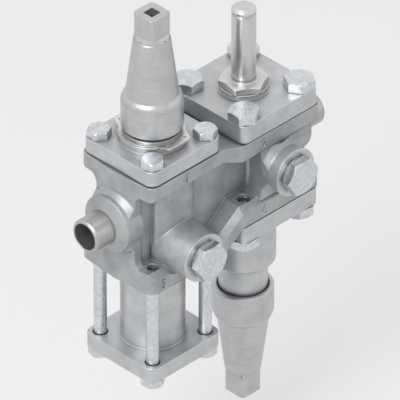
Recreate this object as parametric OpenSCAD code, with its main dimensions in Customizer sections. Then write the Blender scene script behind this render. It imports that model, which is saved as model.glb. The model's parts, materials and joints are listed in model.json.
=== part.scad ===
// Refrigeration valve station: one housing with a stop valve, a filter,
// a solenoid valve and a hand regulating valve bolted to it.
// The flow axis is X at Y = 0, Z = 0, with the inlet's weld end at X = 0.

/* [Station] */
// Inlet's weld end to the axis of the stop valve and filter
inlet_reach = 56; // [52:0.5:80]
// Spacing between the two vertical axes
axis_spacing = 76; // [74:0.5:90]
// Axis of the solenoid and regulating valves to the outlet's weld end
outlet_reach = 59; // [54:0.5:80]
// Thickness of the flat gaskets under the covers
gasket_t = 0.7; // [0.5:0.1:1.5]

/* [Housing] */
// Width of the stop valve's and the filter's square flange
slim_flange_w = 60; // [58:0.5:66]
// Corner radius of that flange
slim_flange_r = 5; // [3:0.5:7]
// Width of the solenoid and regulating valves' square flange
wide_flange_w = 63; // [62:0.5:68]
// Corner radius of that flange
wide_flange_r = 2; // [1:0.5:5]
// Height of the stop valve's face above the flow axis
stop_face = 34.5; // [33:0.5:40]
// Height of the solenoid valve's face above the flow axis
solenoid_face = 30.3; // [29:0.1:36]
// Depth of the filter's face below the flow axis
filter_face = 41.8; // [40:0.1:46]
// Depth of the regulating valve's face below the flow axis
regulating_face = 28.8; // [27:0.1:34]
// Thickness of the stop valve's flange
stop_flange_t = 10.3; // [9:0.1:13]
// Thickness of the solenoid valve's flange
solenoid_flange_t = 12.1; // [10:0.1:14]
// Thickness of both lower flanges at their sides
lower_flange_t = 10; // [8:0.1:12]
// Height of the sloped edge on top of both lower flanges
lower_slope_h = 4; // [2:0.1:5]
// How far the flanges' end faces stand out in their middle
ridge_out = 2; // [0.5:0.1:4]
// Thickness of the slab between the two valve cores
web_t = 31; // [30:0.5:34]
// Width of each valve core along the flow
core_w = 33; // [32:0.5:38]
// Diameter of the cores' round fronts and backs
core_d = 49.8; // [48:0.1:54]
// Thickness of the end walls
end_wall_t = 5; // [3.5:0.1:6]
// Narrowest width of the end walls
waist_w = 31.8; // [30:0.1:40]
// Radius of the end walls' hollow sides
waist_r = 7.5; // [4:0.5:10]
// Diameter of the raised ring round each nipple
nipple_boss_d = 36.6; // [32:0.1:40]
// Distance from the end face to the front of that ring
nipple_boss_h = 7.7; // [6:0.1:10]
// Length of the cone between that ring and the nipple
nipple_cone_h = 3.7; // [2:0.1:5]
// Diameter of that cone at the nipple
nipple_cone_d = 22.6; // [22:0.1:26]

/* [Passages] */
// Bore of the four module chambers
chamber_d = 28; // [27:0.1:29]
// Bore of the inlet and outlet
port_d = 17; // [14:0.1:17.4]
// Bore of the slanted passage from the filter to the solenoid valve
channel_d = 11; // [8:0.1:12]
// Thickness of the wall that carries the stop valve's seat
seat_wall_t = 6; // [5:0.1:7]
// Depth of that wall's upper face below the flow axis
stop_seat_depth = 9; // [8.6:0.1:10]
// Opening of the three seat rings
seat_d = 15; // [12:0.1:16]
// Outer diameter of the seat rings
seat_ring_d = 23; // [21:0.1:24]
// Thickness of the seat rings
seat_ring_t = 2.4; // [1.5:0.1:2.6]

/* [Nipples] */
// Outer diameter of the weld nipples
nipple_d = 21.3; // [20:0.1:24]
// Diameter of each nipple's spigot in the housing
nipple_spigot_d = 20; // [19:0.1:20.6]
// Depth of each spigot in the housing
nipple_socket = 4; // [3:0.1:5]
// Width of the weld bevel at the nipple's end
weld_bevel = 1.3; // [0.5:0.1:1.6]

/* [Bolts] */
// Bolt spacing on the stop valve and the filter
slim_pitch = 44; // [43:0.1:46]
// Bolt spacing on the solenoid and regulating valves
wide_pitch = 46.6; // [45:0.1:48]
// Diameter of the slim flange's bolts
slim_bolt_d = 8; // [6:0.5:8]
// Diameter of the wide flange's bolts
wide_bolt_d = 10; // [8:0.5:10]
// Width across flats of the slim flange's bolt heads
slim_bolt_af = 13; // [12:0.5:13]
// Width across flats of the wide flange's bolt heads
wide_bolt_af = 17; // [15:0.5:17]
// Height of the slim flange's bolt heads
slim_head_h = 5.3; // [4:0.1:6]
// Height of the wide flange's bolt heads
wide_head_h = 6.4; // [5:0.1:7]
// How far a bolt reaches out under an upper flange
bolt_tip = 1.2; // [0:0.1:3]

/* [Stop valve] */
// Width of the stop valve's cover
stop_cover_w = 58.8; // [56:0.1:60]
// Corner radius of that cover
stop_cover_r = 6; // [4:0.5:8]
// Thickness of that cover
stop_cover_t = 10; // [8:0.1:13]
// Diameter of the raised boss on the cover
stop_boss_d = 41; // [40:0.1:43]
// Height of that boss
stop_boss_h = 4.4; // [3:0.1:6]
// Length of the threaded neck above the boss
stop_neck_h = 16.4; // [14:0.1:18]
// Lift of the stop valve's cone
stop_lift = 6; // [4:0.1:7]

/* [Tag plate] */
// Diameter of the tag plate's round part
tag_d = 39.2; // [38:0.1:40]
// Thickness of the tag plate
tag_t = 0.9; // [0.5:0.1:1.5]
// Distance from the axis to the edge of each ear
ear_out = 23.2; // [22:0.1:25]
// Half length of the straight edge of each ear
ear_half = 8.2; // [7:0.1:10]
// Diameter of the wire holes in the ears
ear_hole_d = 1.8; // [1:0.1:2.5]
// Thickness of the washer that clamps the tag plate
tag_washer_t = 1.6; // [1:0.1:2]
// Width of that washer's ring
tag_washer_w = 2.5; // [1.5:0.1:3.5]

/* [Filter] */
// Outer diameter of the filter pot
pot_d = 38.9; // [37:0.1:40]
// Wall of the filter pot
pot_wall = 3.4; // [2.5:0.1:4]
// Length of the filter pot between its gasket and its foot plate
pot_h = 53.9; // [45:0.1:60]
// Width of the pot's foot plate
foot_w = 58.6; // [57:0.1:60]
// Corner radius of the foot plate
foot_r = 6; // [4:0.5:8]
// Thickness of the foot plate
foot_t = 10.3; // [8:0.1:12]
// Outer diameter of the strainer
strainer_d = 23; // [20:0.1:24]
// Wall of the strainer
strainer_wall = 0.8; // [0.5:0.1:1.2]
// Diameter of the strainer's holes
mesh_hole_d = 3.2; // [2:0.1:4]
// Rows of holes along the strainer
mesh_rows = 6; // [4:1:8]
// Holes in each row
mesh_columns = 8; // [6:1:10]

/* [Solenoid valve] */
// Width of the solenoid valve's cover
solenoid_cover_w = 63.3; // [61:0.1:65]
// Corner radius of that cover
solenoid_cover_r = 5; // [3:0.5:7]
// Thickness of that cover
solenoid_cover_t = 12; // [10:0.1:14]
// Diameter of the grooved ring on the cover
tube_seat_d = 30; // [28:0.1:31]
// Height of that ring
tube_seat_h = 2.9; // [2:0.1:4]
// Width across flats of the tube nut
tube_nut_af = 27; // [24:0.5:27]
// Height of the tube nut's hexagon
tube_nut_h = 4.4; // [4:0.1:6]
// Outer diameter of the armature tube
tube_d = 14.85; // [14:0.05:15.5]
// Wall of the armature tube
tube_wall = 1.2; // [0.8:0.1:1.4]
// Height of the armature tube above the nut's hexagon
tube_h = 44.6; // [40:0.1:50]
// Height of the pole piece's head above the tube
pole_head_h = 5.8; // [5.5:0.1:7]
// Travel of the armature
armature_travel = 2.5; // [1.5:0.1:3]
// Travel of the main piston
piston_travel = 4; // [3:0.1:4.2]

/* [Regulating valve] */
// Width of the regulating valve's bonnet plate
bonnet_w = 63; // [61:0.1:65]
// Corner radius of that plate
bonnet_r = 3.2; // [2:0.1:6]
// Thickness of that plate
bonnet_t = 11.9; // [10:0.1:14]
// Diameter of the bonnet below its plate
bonnet_d = 39.5; // [37:0.1:42]
// Length of the bonnet below its plate
bonnet_h = 40; // [35:0.1:46]
// Chamfer at the bonnet's lower end
bonnet_chamfer = 2.4; // [1:0.1:3]
// Diameter of the bonnet's neck
bonnet_neck_d = 29.8; // [29.4:0.1:30.2]
// Visible length of that neck
bonnet_neck_h = 17.6; // [12:0.1:20]
// Travel of the regulating cone
regulating_lift = 6; // [4:0.1:7]

/* [Valve caps] */
// Diameter of the caps' collar
cap_d = 37.3; // [36:0.1:38.5]
// Length of the caps' collar
cap_collar_h = 18.4; // [17:0.1:20]
// Radius of the rounded shoulder above the collar
cap_shoulder_r = 5.2; // [4:0.1:6]
// Diameter at the wide end of the caps' cone
cone_base_d = 31.7; // [31:0.1:33]
// Diameter at the narrow end of that cone
cone_top_d = 22.2; // [21.6:0.1:24]
// Height of the cone's narrow end above the cap's rim
cone_top_h = 61.3; // [58:0.1:66]
// Height of the square head
cap_head_h = 17.6; // [15:0.1:20]
// Width across flats of the square head
cap_head_af = 16.4; // [15:0.1:17]
// Diameter across the turned corners of the square head
cap_head_d = 20.8; // [19.6:0.1:21]
// Width of the square socket in the head
socket_af = 7.2; // [6.8:0.1:8]
// Depth of that socket
socket_depth = 9; // [7:0.1:9]

/* [Spindles] */
// Diameter of the valve spindles
spindle_d = 10; // [9:0.1:10.4]
// Width across flats of the spindles' square ends
spindle_af = 6.8; // [6:0.1:7]
// Length of those square ends
spindle_square_h = 11; // [8:0.1:12]
// Diameter of the threaded neck inside each cap
neck_thread_d = 29; // [28.6:0.1:29.2]
// Diameter of the stuffing boxes
stuffing_d = 16; // [15:0.1:17]
// Height of the packing
packing_h = 10; // [8:0.1:11]
// Diameter of the cones
valve_cone_d = 20.6; // [19.6:0.1:21]

/* [Side plugs] */
// Depth of the low plug's axis below the flow axis
low_plug_depth = 21.5; // [21:0.1:22]
// Height of the high plug's axis above the flow axis
high_plug_height = 2; // [0:0.1:3]
// Distance from the flow axis to the bosses' front faces
plug_face = 41.7; // [38:0.1:46]
// Diameter of the bosses' front faces
plug_boss_d = 30.2; // [29:0.1:31]
// Width across flats of the plugs
plug_af = 22; // [20:0.5:24]
// Height of the plugs' hexagons
plug_head_h = 6; // [5:0.1:8]
// Height of the round collar under each hexagon
plug_collar_h = 1.7; // [1:0.1:2.5]
// Diameter of the plugs' threads
plug_thread_d = 16.6; // [14:0.1:17]
// Length of the plugs' threads
plug_thread_h = 12; // [9:0.1:13]
// Diameter of the plugs' gaskets
plug_gasket_d = 31; // [29:0.1:31.4]
// Thickness of the plugs' gaskets
plug_gasket_t = 1.6; // [1:0.1:2.5]

/* [Hidden] */
$fn = 72;

// Clearances
run_gap = 0.05;
slip_gap = 0.1;
loose_gap = 0.2;
seat_gap = 0.05;
drill_gap = 0.4;

// Places along the flow
stop_x = inlet_reach;
control_x = inlet_reach + axis_spacing;
outlet_x = control_x + outlet_reach;
slim_half = slim_flange_w / 2;
wide_half = wide_flange_w / 2;
inlet_wall_x = stop_x - slim_half;
outlet_wall_x = control_x + wide_half;
inlet_front = inlet_wall_x - nipple_boss_h - nipple_cone_h;
outlet_front = outlet_wall_x + nipple_boss_h + nipple_cone_h;

// Heights of the housing's chambers
stop_floor = -stop_seat_depth;
filter_roof = stop_floor - seat_wall_t;
regulating_roof = 6;
control_wall_t = 7;
solenoid_floor = regulating_roof + control_wall_t;
filter_pad = -filter_face + lower_flange_t + lower_slope_h;
regulating_pad = -regulating_face + lower_flange_t + lower_slope_h;

// Stop valve and its cap
stop_cover_z = stop_face + gasket_t;
stop_boss_z = stop_cover_z + stop_cover_t;
tag_z = stop_boss_z + stop_boss_h;
tag_washer_z = tag_z + tag_t;
stop_seal_z = tag_washer_z + tag_washer_t;
cap_seal_t = 1.6;
cap_seal_w = 3.1;
cap_thread_bore = neck_thread_d + 2 * loose_gap;
stop_cap_z = stop_seal_z + cap_seal_t;
stop_neck_z = tag_z + stop_neck_h;
washer_t = 2;
gland_thread_h = 15;
gland_hex_h = 5;
gland_hex_af = 13.8;

// Filter
pot_z = -filter_face - gasket_t;
foot_z = pot_z - pot_h;
pot_floor = foot_z + 4;

// Solenoid valve
solenoid_cover_z = solenoid_face + gasket_t;
solenoid_top_z = solenoid_cover_z + solenoid_cover_t;
nut_z = solenoid_top_z + tube_seat_h;
nut_top_z = nut_z + tube_nut_h;
tube_top_z = nut_top_z + tube_h;
nut_collar_h = 0.7;
nut_thread_d = 18;
nut_thread_h = 7.4;
nut_floor_z = nut_z - nut_thread_h - 1.5;
tube_z = nut_z - nut_thread_h + 0.5;
tube_shank_d = tube_d - 0.45;
tube_bore = tube_shank_d - 2 * tube_wall;
armature_z = tube_z + 1.2;
armature_h = 37;
armature_top_z = armature_z + armature_h;
pole_z = armature_top_z + armature_travel + slip_gap;
spring_hole_d = 4.8;
spring_hole_h = 10;
armature_seal_d = 5;
armature_seal_h = 2;
armature_seal_z = armature_z - 0.6;
piston_guide_d = 23.2;
piston_z = solenoid_floor + seat_gap;
skirt_z = piston_z + 7.5;
piston_top_z = solenoid_cover_z - piston_travel - 1.4;
piston_cup_z = piston_z + 8;
ring_groove_z = skirt_z + 1.5;
ring_groove_h = 1.8;
ring_groove_d = piston_guide_d - 3;

// Regulating valve and its cap
bonnet_z = -regulating_face - gasket_t;
bonnet_low_z = bonnet_z - bonnet_t;
bonnet_end_z = bonnet_low_z - bonnet_h;
regulating_cap_z = bonnet_end_z - bonnet_neck_h;
neck_in_cap = stop_neck_z - stop_cap_z;
regulating_neck_z = regulating_cap_z - neck_in_cap;
seal_groove_h = 2.2;
seal_section = 1.5;

// Plugs
low_plug_z = -low_plug_depth;
high_plug_z = high_plug_height;

// Turns of the bolt heads, as they happened to end when tightened
stop_turns = [45, 20, 35, 23];
filter_turns = [30, 1, 48, 18];
solenoid_turns = [28, 2, 15, 59];
regulating_turns = [0, 50, 10, 24];
nut_turn = 24;

// A flat plate with round corners, centred on the origin
module rounded_rect(w, depth, r) {
    square([w - 2 * r, depth], center = true);
    square([w, depth - 2 * r], center = true);
    for (sx = [-1, 1], sy = [-1, 1])
        translate([sx * (w / 2 - r), sy * (depth / 2 - r)]) circle(r = r);
}

module rounded_square(w, r) {
    rounded_rect(w, w, r);
}

// A ring from z0 up to z1
module ring(d_out, d_in, z0, z1) {
    translate([0, 0, z0]) difference() {
        cylinder(d = d_out, h = z1 - z0);
        translate([0, 0, -1]) cylinder(d = d_in, h = z1 - z0 + 2);
    }
}

// A round bar from z0 up to z1
module bar(d, z0, z1) {
    translate([0, 0, z0]) cylinder(d = d, h = z1 - z0);
}

module on_stop_axis() {
    translate([stop_x, 0, 0]) children();
}

module on_control_axis() {
    translate([control_x, 0, 0]) children();
}

// The four corners of a square bolt pattern; $corner numbers them
module at_corners(pitch) {
    corners = [[-1, -1], [1, -1], [1, 1], [-1, 1]];
    for (i = [0:3]) {
        $corner = i;
        translate([corners[i][0] * pitch / 2, corners[i][1] * pitch / 2, 0]) children();
    }
}

// A hexagon with chamfered corners, standing on z = 0
module chamfered_hex(af, h) {
    corner_r = af / sqrt(3);
    face_r = af / 2 * 0.97;
    chamfer_h = (corner_r - face_r) * tan(30);
    intersection() {
        cylinder(r = corner_r, h = h, $fn = 6);
        union() {
            cylinder(r = corner_r + 1, h = h - chamfer_h);
            translate([0, 0, h - chamfer_h]) cylinder(r1 = corner_r, r2 = face_r, h = chamfer_h);
        }
    }
}

// A bolt whose head stands on z = 0 and whose shank reaches down
module hex_bolt(d, af, head_h, shank, turn) {
    tip = d / 10;
    rotate([0, 0, turn]) chamfered_hex(af, head_h);
    translate([0, 0, -shank + tip]) cylinder(d = d, h = shank - tip + 0.5);
    translate([0, 0, -shank]) cylinder(d1 = d - 2 * tip, d2 = d, h = tip);
}

// Housing

// Seen from above: both flanges, the bridge between them and the ridged ends
module plan_outline() {
    translate([stop_x, 0]) rounded_square(slim_flange_w, slim_flange_r);
    translate([control_x, 0]) rounded_square(wide_flange_w, wide_flange_r);
    bridge_in = slim_flange_r + 1;
    polygon([
        [stop_x + slim_half - bridge_in, -slim_half], [stop_x + slim_half, -slim_half],
        [control_x - wide_half, -wide_half], [control_x - wide_half + bridge_in, -wide_half],
        [control_x - wide_half + bridge_in, wide_half], [control_x - wide_half, wide_half],
        [stop_x + slim_half, slim_half], [stop_x + slim_half - bridge_in, slim_half]]);
    slim_flat = slim_half - slim_flange_r;
    wide_flat = wide_half - wide_flange_r - 2;
    polygon([
        [inlet_wall_x + 1, -slim_flat], [inlet_wall_x, -slim_flat], [inlet_wall_x - ridge_out, 0],
        [inlet_wall_x, slim_flat], [inlet_wall_x + 1, slim_flat]]);
    polygon([
        [outlet_wall_x - 1, -wide_flat], [outlet_wall_x, -wide_flat], [outlet_wall_x + ridge_out, 0],
        [outlet_wall_x, wide_flat], [outlet_wall_x - 1, wide_flat]]);
}

// Across the flow: a rim's section, with its edges sloped below and above
module rim_section(half, low, high, edge_low, edge_high) {
    polygon([
        [-half + edge_low, low], [half - edge_low, low], [half, low + edge_low],
        [half, high - edge_high], [half - edge_high, high], [-half + edge_high, high],
        [-half, high - edge_high], [-half, low + edge_low]]);
}

// A rim section stood up and drawn along the flow from x0 to x1
module along_flow(x0, x1) {
    translate([x0, 0, 0]) rotate([90, 0, 90]) linear_extrude(height = x1 - x0) children();
}

flange_edge = 1.2;
skin = 0.02;

module upper_rim() {
    slim_low = stop_face - stop_flange_t;
    wide_low = solenoid_face - solenoid_flange_t;
    slim_end = stop_x + slim_half;
    wide_start = control_x - wide_half;
    along_flow(inlet_wall_x - ridge_out, slim_end)
        rim_section(slim_half, slim_low, stop_face, flange_edge, 0);
    along_flow(wide_start, outlet_wall_x + ridge_out)
        rim_section(wide_half, wide_low, solenoid_face, flange_edge, 0);
    hull() {
        along_flow(slim_end - skin, slim_end)
            rim_section(slim_half, slim_low, stop_face, flange_edge, 0);
        along_flow(wide_start, wide_start + skin)
            rim_section(wide_half, wide_low, solenoid_face, flange_edge, 0);
    }
}

module lower_rim() {
    slim_end = stop_x + slim_half;
    wide_start = control_x - wide_half;
    along_flow(inlet_wall_x - ridge_out, slim_end)
        rim_section(slim_half, -filter_face, filter_pad, 0, lower_slope_h);
    along_flow(wide_start, outlet_wall_x + ridge_out)
        rim_section(wide_half, -regulating_face, regulating_pad, 0, lower_slope_h);
    hull() {
        along_flow(slim_end - skin, slim_end)
            rim_section(slim_half, -filter_face, filter_pad, 0, lower_slope_h);
        along_flow(wide_start, wide_start + skin)
            rim_section(wide_half, -regulating_face, regulating_pad, 0, lower_slope_h);
    }
}

// The slab between the cores, as deep as the rims
module web() {
    translate([0, web_t / 2, 0]) rotate([90, 0, 0]) linear_extrude(height = web_t)
        polygon([
            [inlet_wall_x, stop_face], [stop_x + slim_half, stop_face],
            [control_x - wide_half, solenoid_face], [outlet_wall_x, solenoid_face],
            [outlet_wall_x, -regulating_face], [control_x - wide_half, -regulating_face],
            [stop_x + slim_half, -filter_face], [inlet_wall_x, -filter_face]]);
}

// Where the round front of a core meets its rounded corners
core_r = core_d / 2;
core_edge = 1.8;
core_corner_x = core_w / 2 - core_edge;
core_corner_y = sqrt(pow(core_r - core_edge, 2) - pow(core_corner_x, 2));

// A core around a valve's axis: flat along the flow, round in front and behind
module core_block(low, high) {
    front_half = core_corner_x * core_r / (core_r - core_edge);
    intersection() {
        bar(core_d, low, high);
        translate([-front_half, -core_r - 1, low]) cube([2 * front_half, core_d + 2, high - low]);
    }
    translate([-core_w / 2, -core_corner_y, low]) cube([core_w, 2 * core_corner_y, high - low]);
    for (sx = [-1, 1], sy = [-1, 1])
        translate([sx * core_corner_x, sy * core_corner_y, 0]) bar(2 * core_edge, low, high);
}

// A wall as wide as its flanges at both ends and hollowed in at its sides
module hourglass(half, waist_half, low, high, r) {
    difference() {
        translate([-half, low]) square([2 * half, high - low]);
        for (side = [0, 1]) mirror([side, 0]) {
            translate([waist_half + r, low]) square([half, high - low]);
            translate([waist_half, low + r]) square([half, high - low - 2 * r]);
            for (z = [low + r, high - r]) translate([waist_half + r, z]) circle(r = r);
        }
    }
}

module end_walls() {
    low_overlap = lower_slope_h / 2;
    along_flow(inlet_wall_x - ridge_out, inlet_wall_x + end_wall_t)
        hourglass(slim_half, waist_w / 2, filter_pad - low_overlap, stop_face - stop_flange_t + 1, waist_r);
    along_flow(outlet_wall_x - end_wall_t, outlet_wall_x + ridge_out)
        hourglass(wide_half, waist_w / 2, regulating_pad - low_overlap,
            solenoid_face - solenoid_flange_t + 1, waist_r);
}

// Across the flow: a column between two rims, with one long hollow arc in each side
module arched(half, waist_half, low, high) {
    overlap = 1;
    rise = half - waist_half;
    reach = (high - low) / 2;
    arc_r = (reach * reach + rise * rise) / (2 * rise);
    difference() {
        translate([-half - overlap, low - overlap])
            square([2 * (half + overlap), high - low + 2 * overlap]);
        for (side = [-1, 1])
            translate([side * (waist_half + arc_r), (low + high) / 2]) circle(r = arc_r, $fn = 180);
    }
}

// The column that carries the high plug, out to depth y_out
module plug_column(y_out) {
    column_half = 17;
    column_waist = 14.8;
    translate([control_x, 0, 0]) rotate([90, 0, 0]) linear_extrude(height = y_out)
        arched(column_half, column_waist, regulating_pad, solenoid_face - solenoid_flange_t);
}

// A tapered boss on the front, from depth y0 out to the plugs' face
module plug_boss(base_d, y0) {
    rotate([90, 0, 0]) translate([0, 0, y0]) cylinder(d1 = base_d, d2 = plug_boss_d, h = plug_face - y0);
}

// The wide foot of a boss on a flat front at depth y0
module boss_foot(foot_d, top_d, y0, h) {
    rotate([90, 0, 0]) {
        translate([0, 0, y0 - 2]) cylinder(d = foot_d, h = 2);
        translate([0, 0, y0]) cylinder(d1 = foot_d, d2 = top_d, h = h);
    }
}

// The low plug's boss grows out of the core, with a foot on the flange under it
module low_boss() {
    foot_h = 3.4;
    foot_d = plug_boss_d + 9.2;
    foot_top_d = plug_boss_d + 1.6;
    core_boss_d = plug_boss_d + 5;
    translate([stop_x, 0, low_plug_z]) plug_boss(core_boss_d, core_corner_y - 1.5);
    intersection() {
        translate([stop_x, 0, low_plug_z]) boss_foot(foot_d, foot_top_d, slim_half, foot_h);
        translate([stop_x - slim_half, -plug_face, -filter_face])
            cube([slim_flange_w, plug_face, lower_flange_t]);
    }
}

// The high plug's boss stands on the column, and its foot ends at the column's sides
module high_boss() {
    foot_h = 4.3;
    foot_d = plug_boss_d + 6.4;
    translate([control_x, 0, high_plug_z]) plug_boss(plug_boss_d + 0.4, wide_half - 2);
    intersection() {
        translate([control_x, 0, high_plug_z]) boss_foot(foot_d, plug_boss_d, wide_half, foot_h);
        plug_column(wide_half + foot_h);
    }
}

// A raised ring round a nipple, pointing along +Z from the end face
module nipple_boss() {
    flare_d = nipple_boss_d + 8.4;
    flare_h = 5;
    bar(nipple_boss_d, -end_wall_t, nipple_boss_h);
    translate([0, 0, nipple_boss_h]) cylinder(d1 = nipple_boss_d, d2 = nipple_cone_d, h = nipple_cone_h);
    intersection() {
        union() {
            translate([0, 0, -1.5]) cylinder(d = flare_d, h = 1.5);
            cylinder(d1 = flare_d, d2 = nipple_boss_d, h = flare_h);
        }
        translate([-flare_d, -waist_w / 2, -2]) cube([2 * flare_d, waist_w, flare_h + 2]);
    }
}

module nipple_bosses() {
    translate([inlet_wall_x, 0, 0]) rotate([0, -90, 0]) nipple_boss();
    translate([outlet_wall_x, 0, 0]) rotate([0, 90, 0]) nipple_boss();
}

// Nipple sockets and the bores that lead to the chambers
module flow_bores() {
    rotate([0, 90, 0]) {
        bar(nipple_spigot_d + 2 * run_gap, inlet_front - 1, inlet_front + nipple_socket);
        bar(port_d, inlet_front, stop_x - 2);
        bar(nipple_spigot_d + 2 * run_gap, outlet_front - nipple_socket, outlet_front + 1);
        bar(port_d, control_x + 12, outlet_front);
    }
}

// The slanted passage from the filter's chamber up to the solenoid valve
module channel() {
    start = [stop_x + chamber_d / 2 - 4, filter_roof - 13];
    end = [control_x - chamber_d / 2 + 4, solenoid_floor + 5];
    reach = norm(end - start);
    translate([start[0], 0, start[1]])
        rotate([0, atan2(end[0] - start[0], end[1] - start[1]), 0]) cylinder(d = channel_d, h = reach);
}

module chambers() {
    on_stop_axis() {
        bar(chamber_d, stop_floor, stop_face + 1);
        bar(seat_ring_d + 2 * run_gap, stop_floor - seat_ring_t, stop_floor + 1);
        bar(seat_d, filter_roof - 1, stop_floor);
        bar(chamber_d, -filter_face - 1, filter_roof);
    }
    on_control_axis() {
        bar(chamber_d, solenoid_floor, solenoid_face + 1);
        bar(seat_ring_d + 2 * run_gap, solenoid_floor - seat_ring_t, solenoid_floor + 1);
        bar(seat_d, regulating_roof - 1, solenoid_floor);
        bar(seat_ring_d + 2 * run_gap, regulating_roof - 1, regulating_roof + seat_ring_t);
        bar(chamber_d, -regulating_face - 1, regulating_roof);
    }
}

// The plug's thread and the smaller bore on to the chamber
module plug_bore() {
    rotate([90, 0, 0]) {
        bar(plug_thread_d + 2 * slip_gap, plug_face - plug_thread_h - 1, plug_face + 1);
        bar(plug_thread_d * 0.6, chamber_d / 2 - 3, plug_face);
    }
}

// Threaded holes in one lower flange, with a tap drill showing on its pad
module lower_holes(pitch, d, face, pad) {
    drill_d = d * 0.85;
    relief_h = 7.5;
    at_corners(pitch) {
        bar(d + 2 * slip_gap, -face - 1, pad - 3);
        bar(drill_d, -face, pad + 1);
        bar(drill_d + 3, pad, pad + relief_h);
    }
}

module bolt_holes() {
    on_stop_axis() {
        at_corners(slim_pitch)
            bar(slim_bolt_d + 2 * slip_gap, stop_face - stop_flange_t - 4, stop_face + 1);
        lower_holes(slim_pitch, slim_bolt_d, filter_face, filter_pad);
    }
    on_control_axis() {
        at_corners(wide_pitch)
            bar(wide_bolt_d + 2 * slip_gap, solenoid_face - solenoid_flange_t - 4, solenoid_face + 1);
        lower_holes(wide_pitch, wide_bolt_d, regulating_face, regulating_pad);
    }
}

module housing() {
    color([0.62, 0.64, 0.66]) difference() {
        union() {
            intersection() {
                union() {
                    upper_rim();
                    lower_rim();
                    end_walls();
                }
                translate([0, 0, -filter_face - 1])
                    linear_extrude(height = filter_face + stop_face + 2) plan_outline();
            }
            web();
            on_stop_axis() core_block(-filter_face, stop_face);
            on_control_axis() core_block(-regulating_face, solenoid_face);
            plug_column(wide_half);
            low_boss();
            high_boss();
            nipple_bosses();
        }
        chambers();
        flow_bores();
        channel();
        translate([stop_x, 0, low_plug_z]) plug_bore();
        translate([control_x, 0, high_plug_z]) plug_bore();
        bolt_holes();
    }
}

// A weld nipple pointing along +Z: its spigot, its shoulder at z0 and its bevelled end at z1
module nipple(z0, z1) {
    color([0.66, 0.67, 0.69]) difference() {
        union() {
            bar(nipple_spigot_d, z0 - nipple_socket, z0 + 1);
            bar(nipple_d, z0, z1 - weld_bevel);
            translate([0, 0, z1 - weld_bevel])
                cylinder(d1 = nipple_d, d2 = nipple_d - 2 * weld_bevel, h = weld_bevel);
        }
        bar(port_d, z0 - nipple_socket - 1, z1 + 1);
    }
}

module inlet_nipple() {
    rotate([0, -90, 0]) nipple(-inlet_front, 0);
}

module outlet_nipple() {
    rotate([0, 90, 0]) nipple(outlet_front, outlet_x);
}

// Gaskets and seat rings

module gasket_outline(w, r, pitch, bolt_d) {
    difference() {
        rounded_square(w, r);
        circle(d = chamber_d + 0.6);
        at_corners(pitch) circle(d = bolt_d + 2 * drill_gap);
    }
}

// A flat gasket as large as its cover, a little inside the cover's edge
module cover_gasket(z, w, r, pitch, bolt_d) {
    edge_in = 1.4;
    color([0.30, 0.33, 0.32]) translate([0, 0, z]) linear_extrude(height = gasket_t)
        gasket_outline(w - edge_in, r, pitch, bolt_d);
}

module stop_gasket() {
    on_stop_axis() cover_gasket(stop_face, stop_cover_w, stop_cover_r, slim_pitch, slim_bolt_d);
}

module filter_gasket() {
    on_stop_axis() color([0.30, 0.33, 0.32])
        ring(pot_d - 0.6, pot_d - 2 * pot_wall + 0.6, pot_z, -filter_face);
}

module solenoid_gasket() {
    on_control_axis()
        cover_gasket(solenoid_face, solenoid_cover_w, solenoid_cover_r, wide_pitch, wide_bolt_d);
}

module regulating_gasket() {
    on_control_axis() cover_gasket(bonnet_z, bonnet_w, bonnet_r, wide_pitch, wide_bolt_d);
}

module stop_seat_ring() {
    on_stop_axis() color("darkgoldenrod") ring(seat_ring_d, seat_d, stop_floor - seat_ring_t, stop_floor);
}

module solenoid_seat_ring() {
    on_control_axis() color("darkgoldenrod")
        ring(seat_ring_d, seat_d, solenoid_floor - seat_ring_t, solenoid_floor);
}

module regulating_seat_ring() {
    on_control_axis() color("darkgoldenrod")
        ring(seat_ring_d, seat_d, regulating_roof, regulating_roof + seat_ring_t);
}

// Bolts

module stop_bolts() {
    on_stop_axis() color("lightsteelblue") at_corners(slim_pitch) translate([0, 0, stop_boss_z])
        hex_bolt(slim_bolt_d, slim_bolt_af, slim_head_h,
            stop_cover_t + gasket_t + stop_flange_t + bolt_tip, stop_turns[$corner]);
}

module solenoid_bolts() {
    on_control_axis() color("lightsteelblue") at_corners(wide_pitch) translate([0, 0, solenoid_top_z])
        hex_bolt(wide_bolt_d, wide_bolt_af, wide_head_h,
            solenoid_cover_t + gasket_t + solenoid_flange_t + bolt_tip, solenoid_turns[$corner]);
}

module filter_bolts() {
    low_z = foot_z - foot_t;
    on_stop_axis() color("lightsteelblue") at_corners(slim_pitch) translate([0, 0, low_z]) mirror([0, 0, 1])
        hex_bolt(slim_bolt_d, slim_bolt_af, slim_head_h, filter_pad - 4 - low_z, filter_turns[$corner]);
}

module regulating_bolts() {
    on_control_axis() color("lightsteelblue") at_corners(wide_pitch)
        translate([0, 0, bonnet_low_z]) mirror([0, 0, 1])
            hex_bolt(wide_bolt_d, wide_bolt_af, wide_head_h, regulating_pad - 4 - bonnet_low_z,
                regulating_turns[$corner]);
}

// Stop valve

guide_bore = spindle_d + 2 * run_gap;
spigot_d = chamber_d - 2 * run_gap;
spigot_hollow_d = 20;
spigot_hollow_h = 8;
stop_spigot_z = 20;
stop_stuffing_z = stop_cover_z + 1.5;
cone_h = 7;
cone_socket_h = 4;

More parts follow.
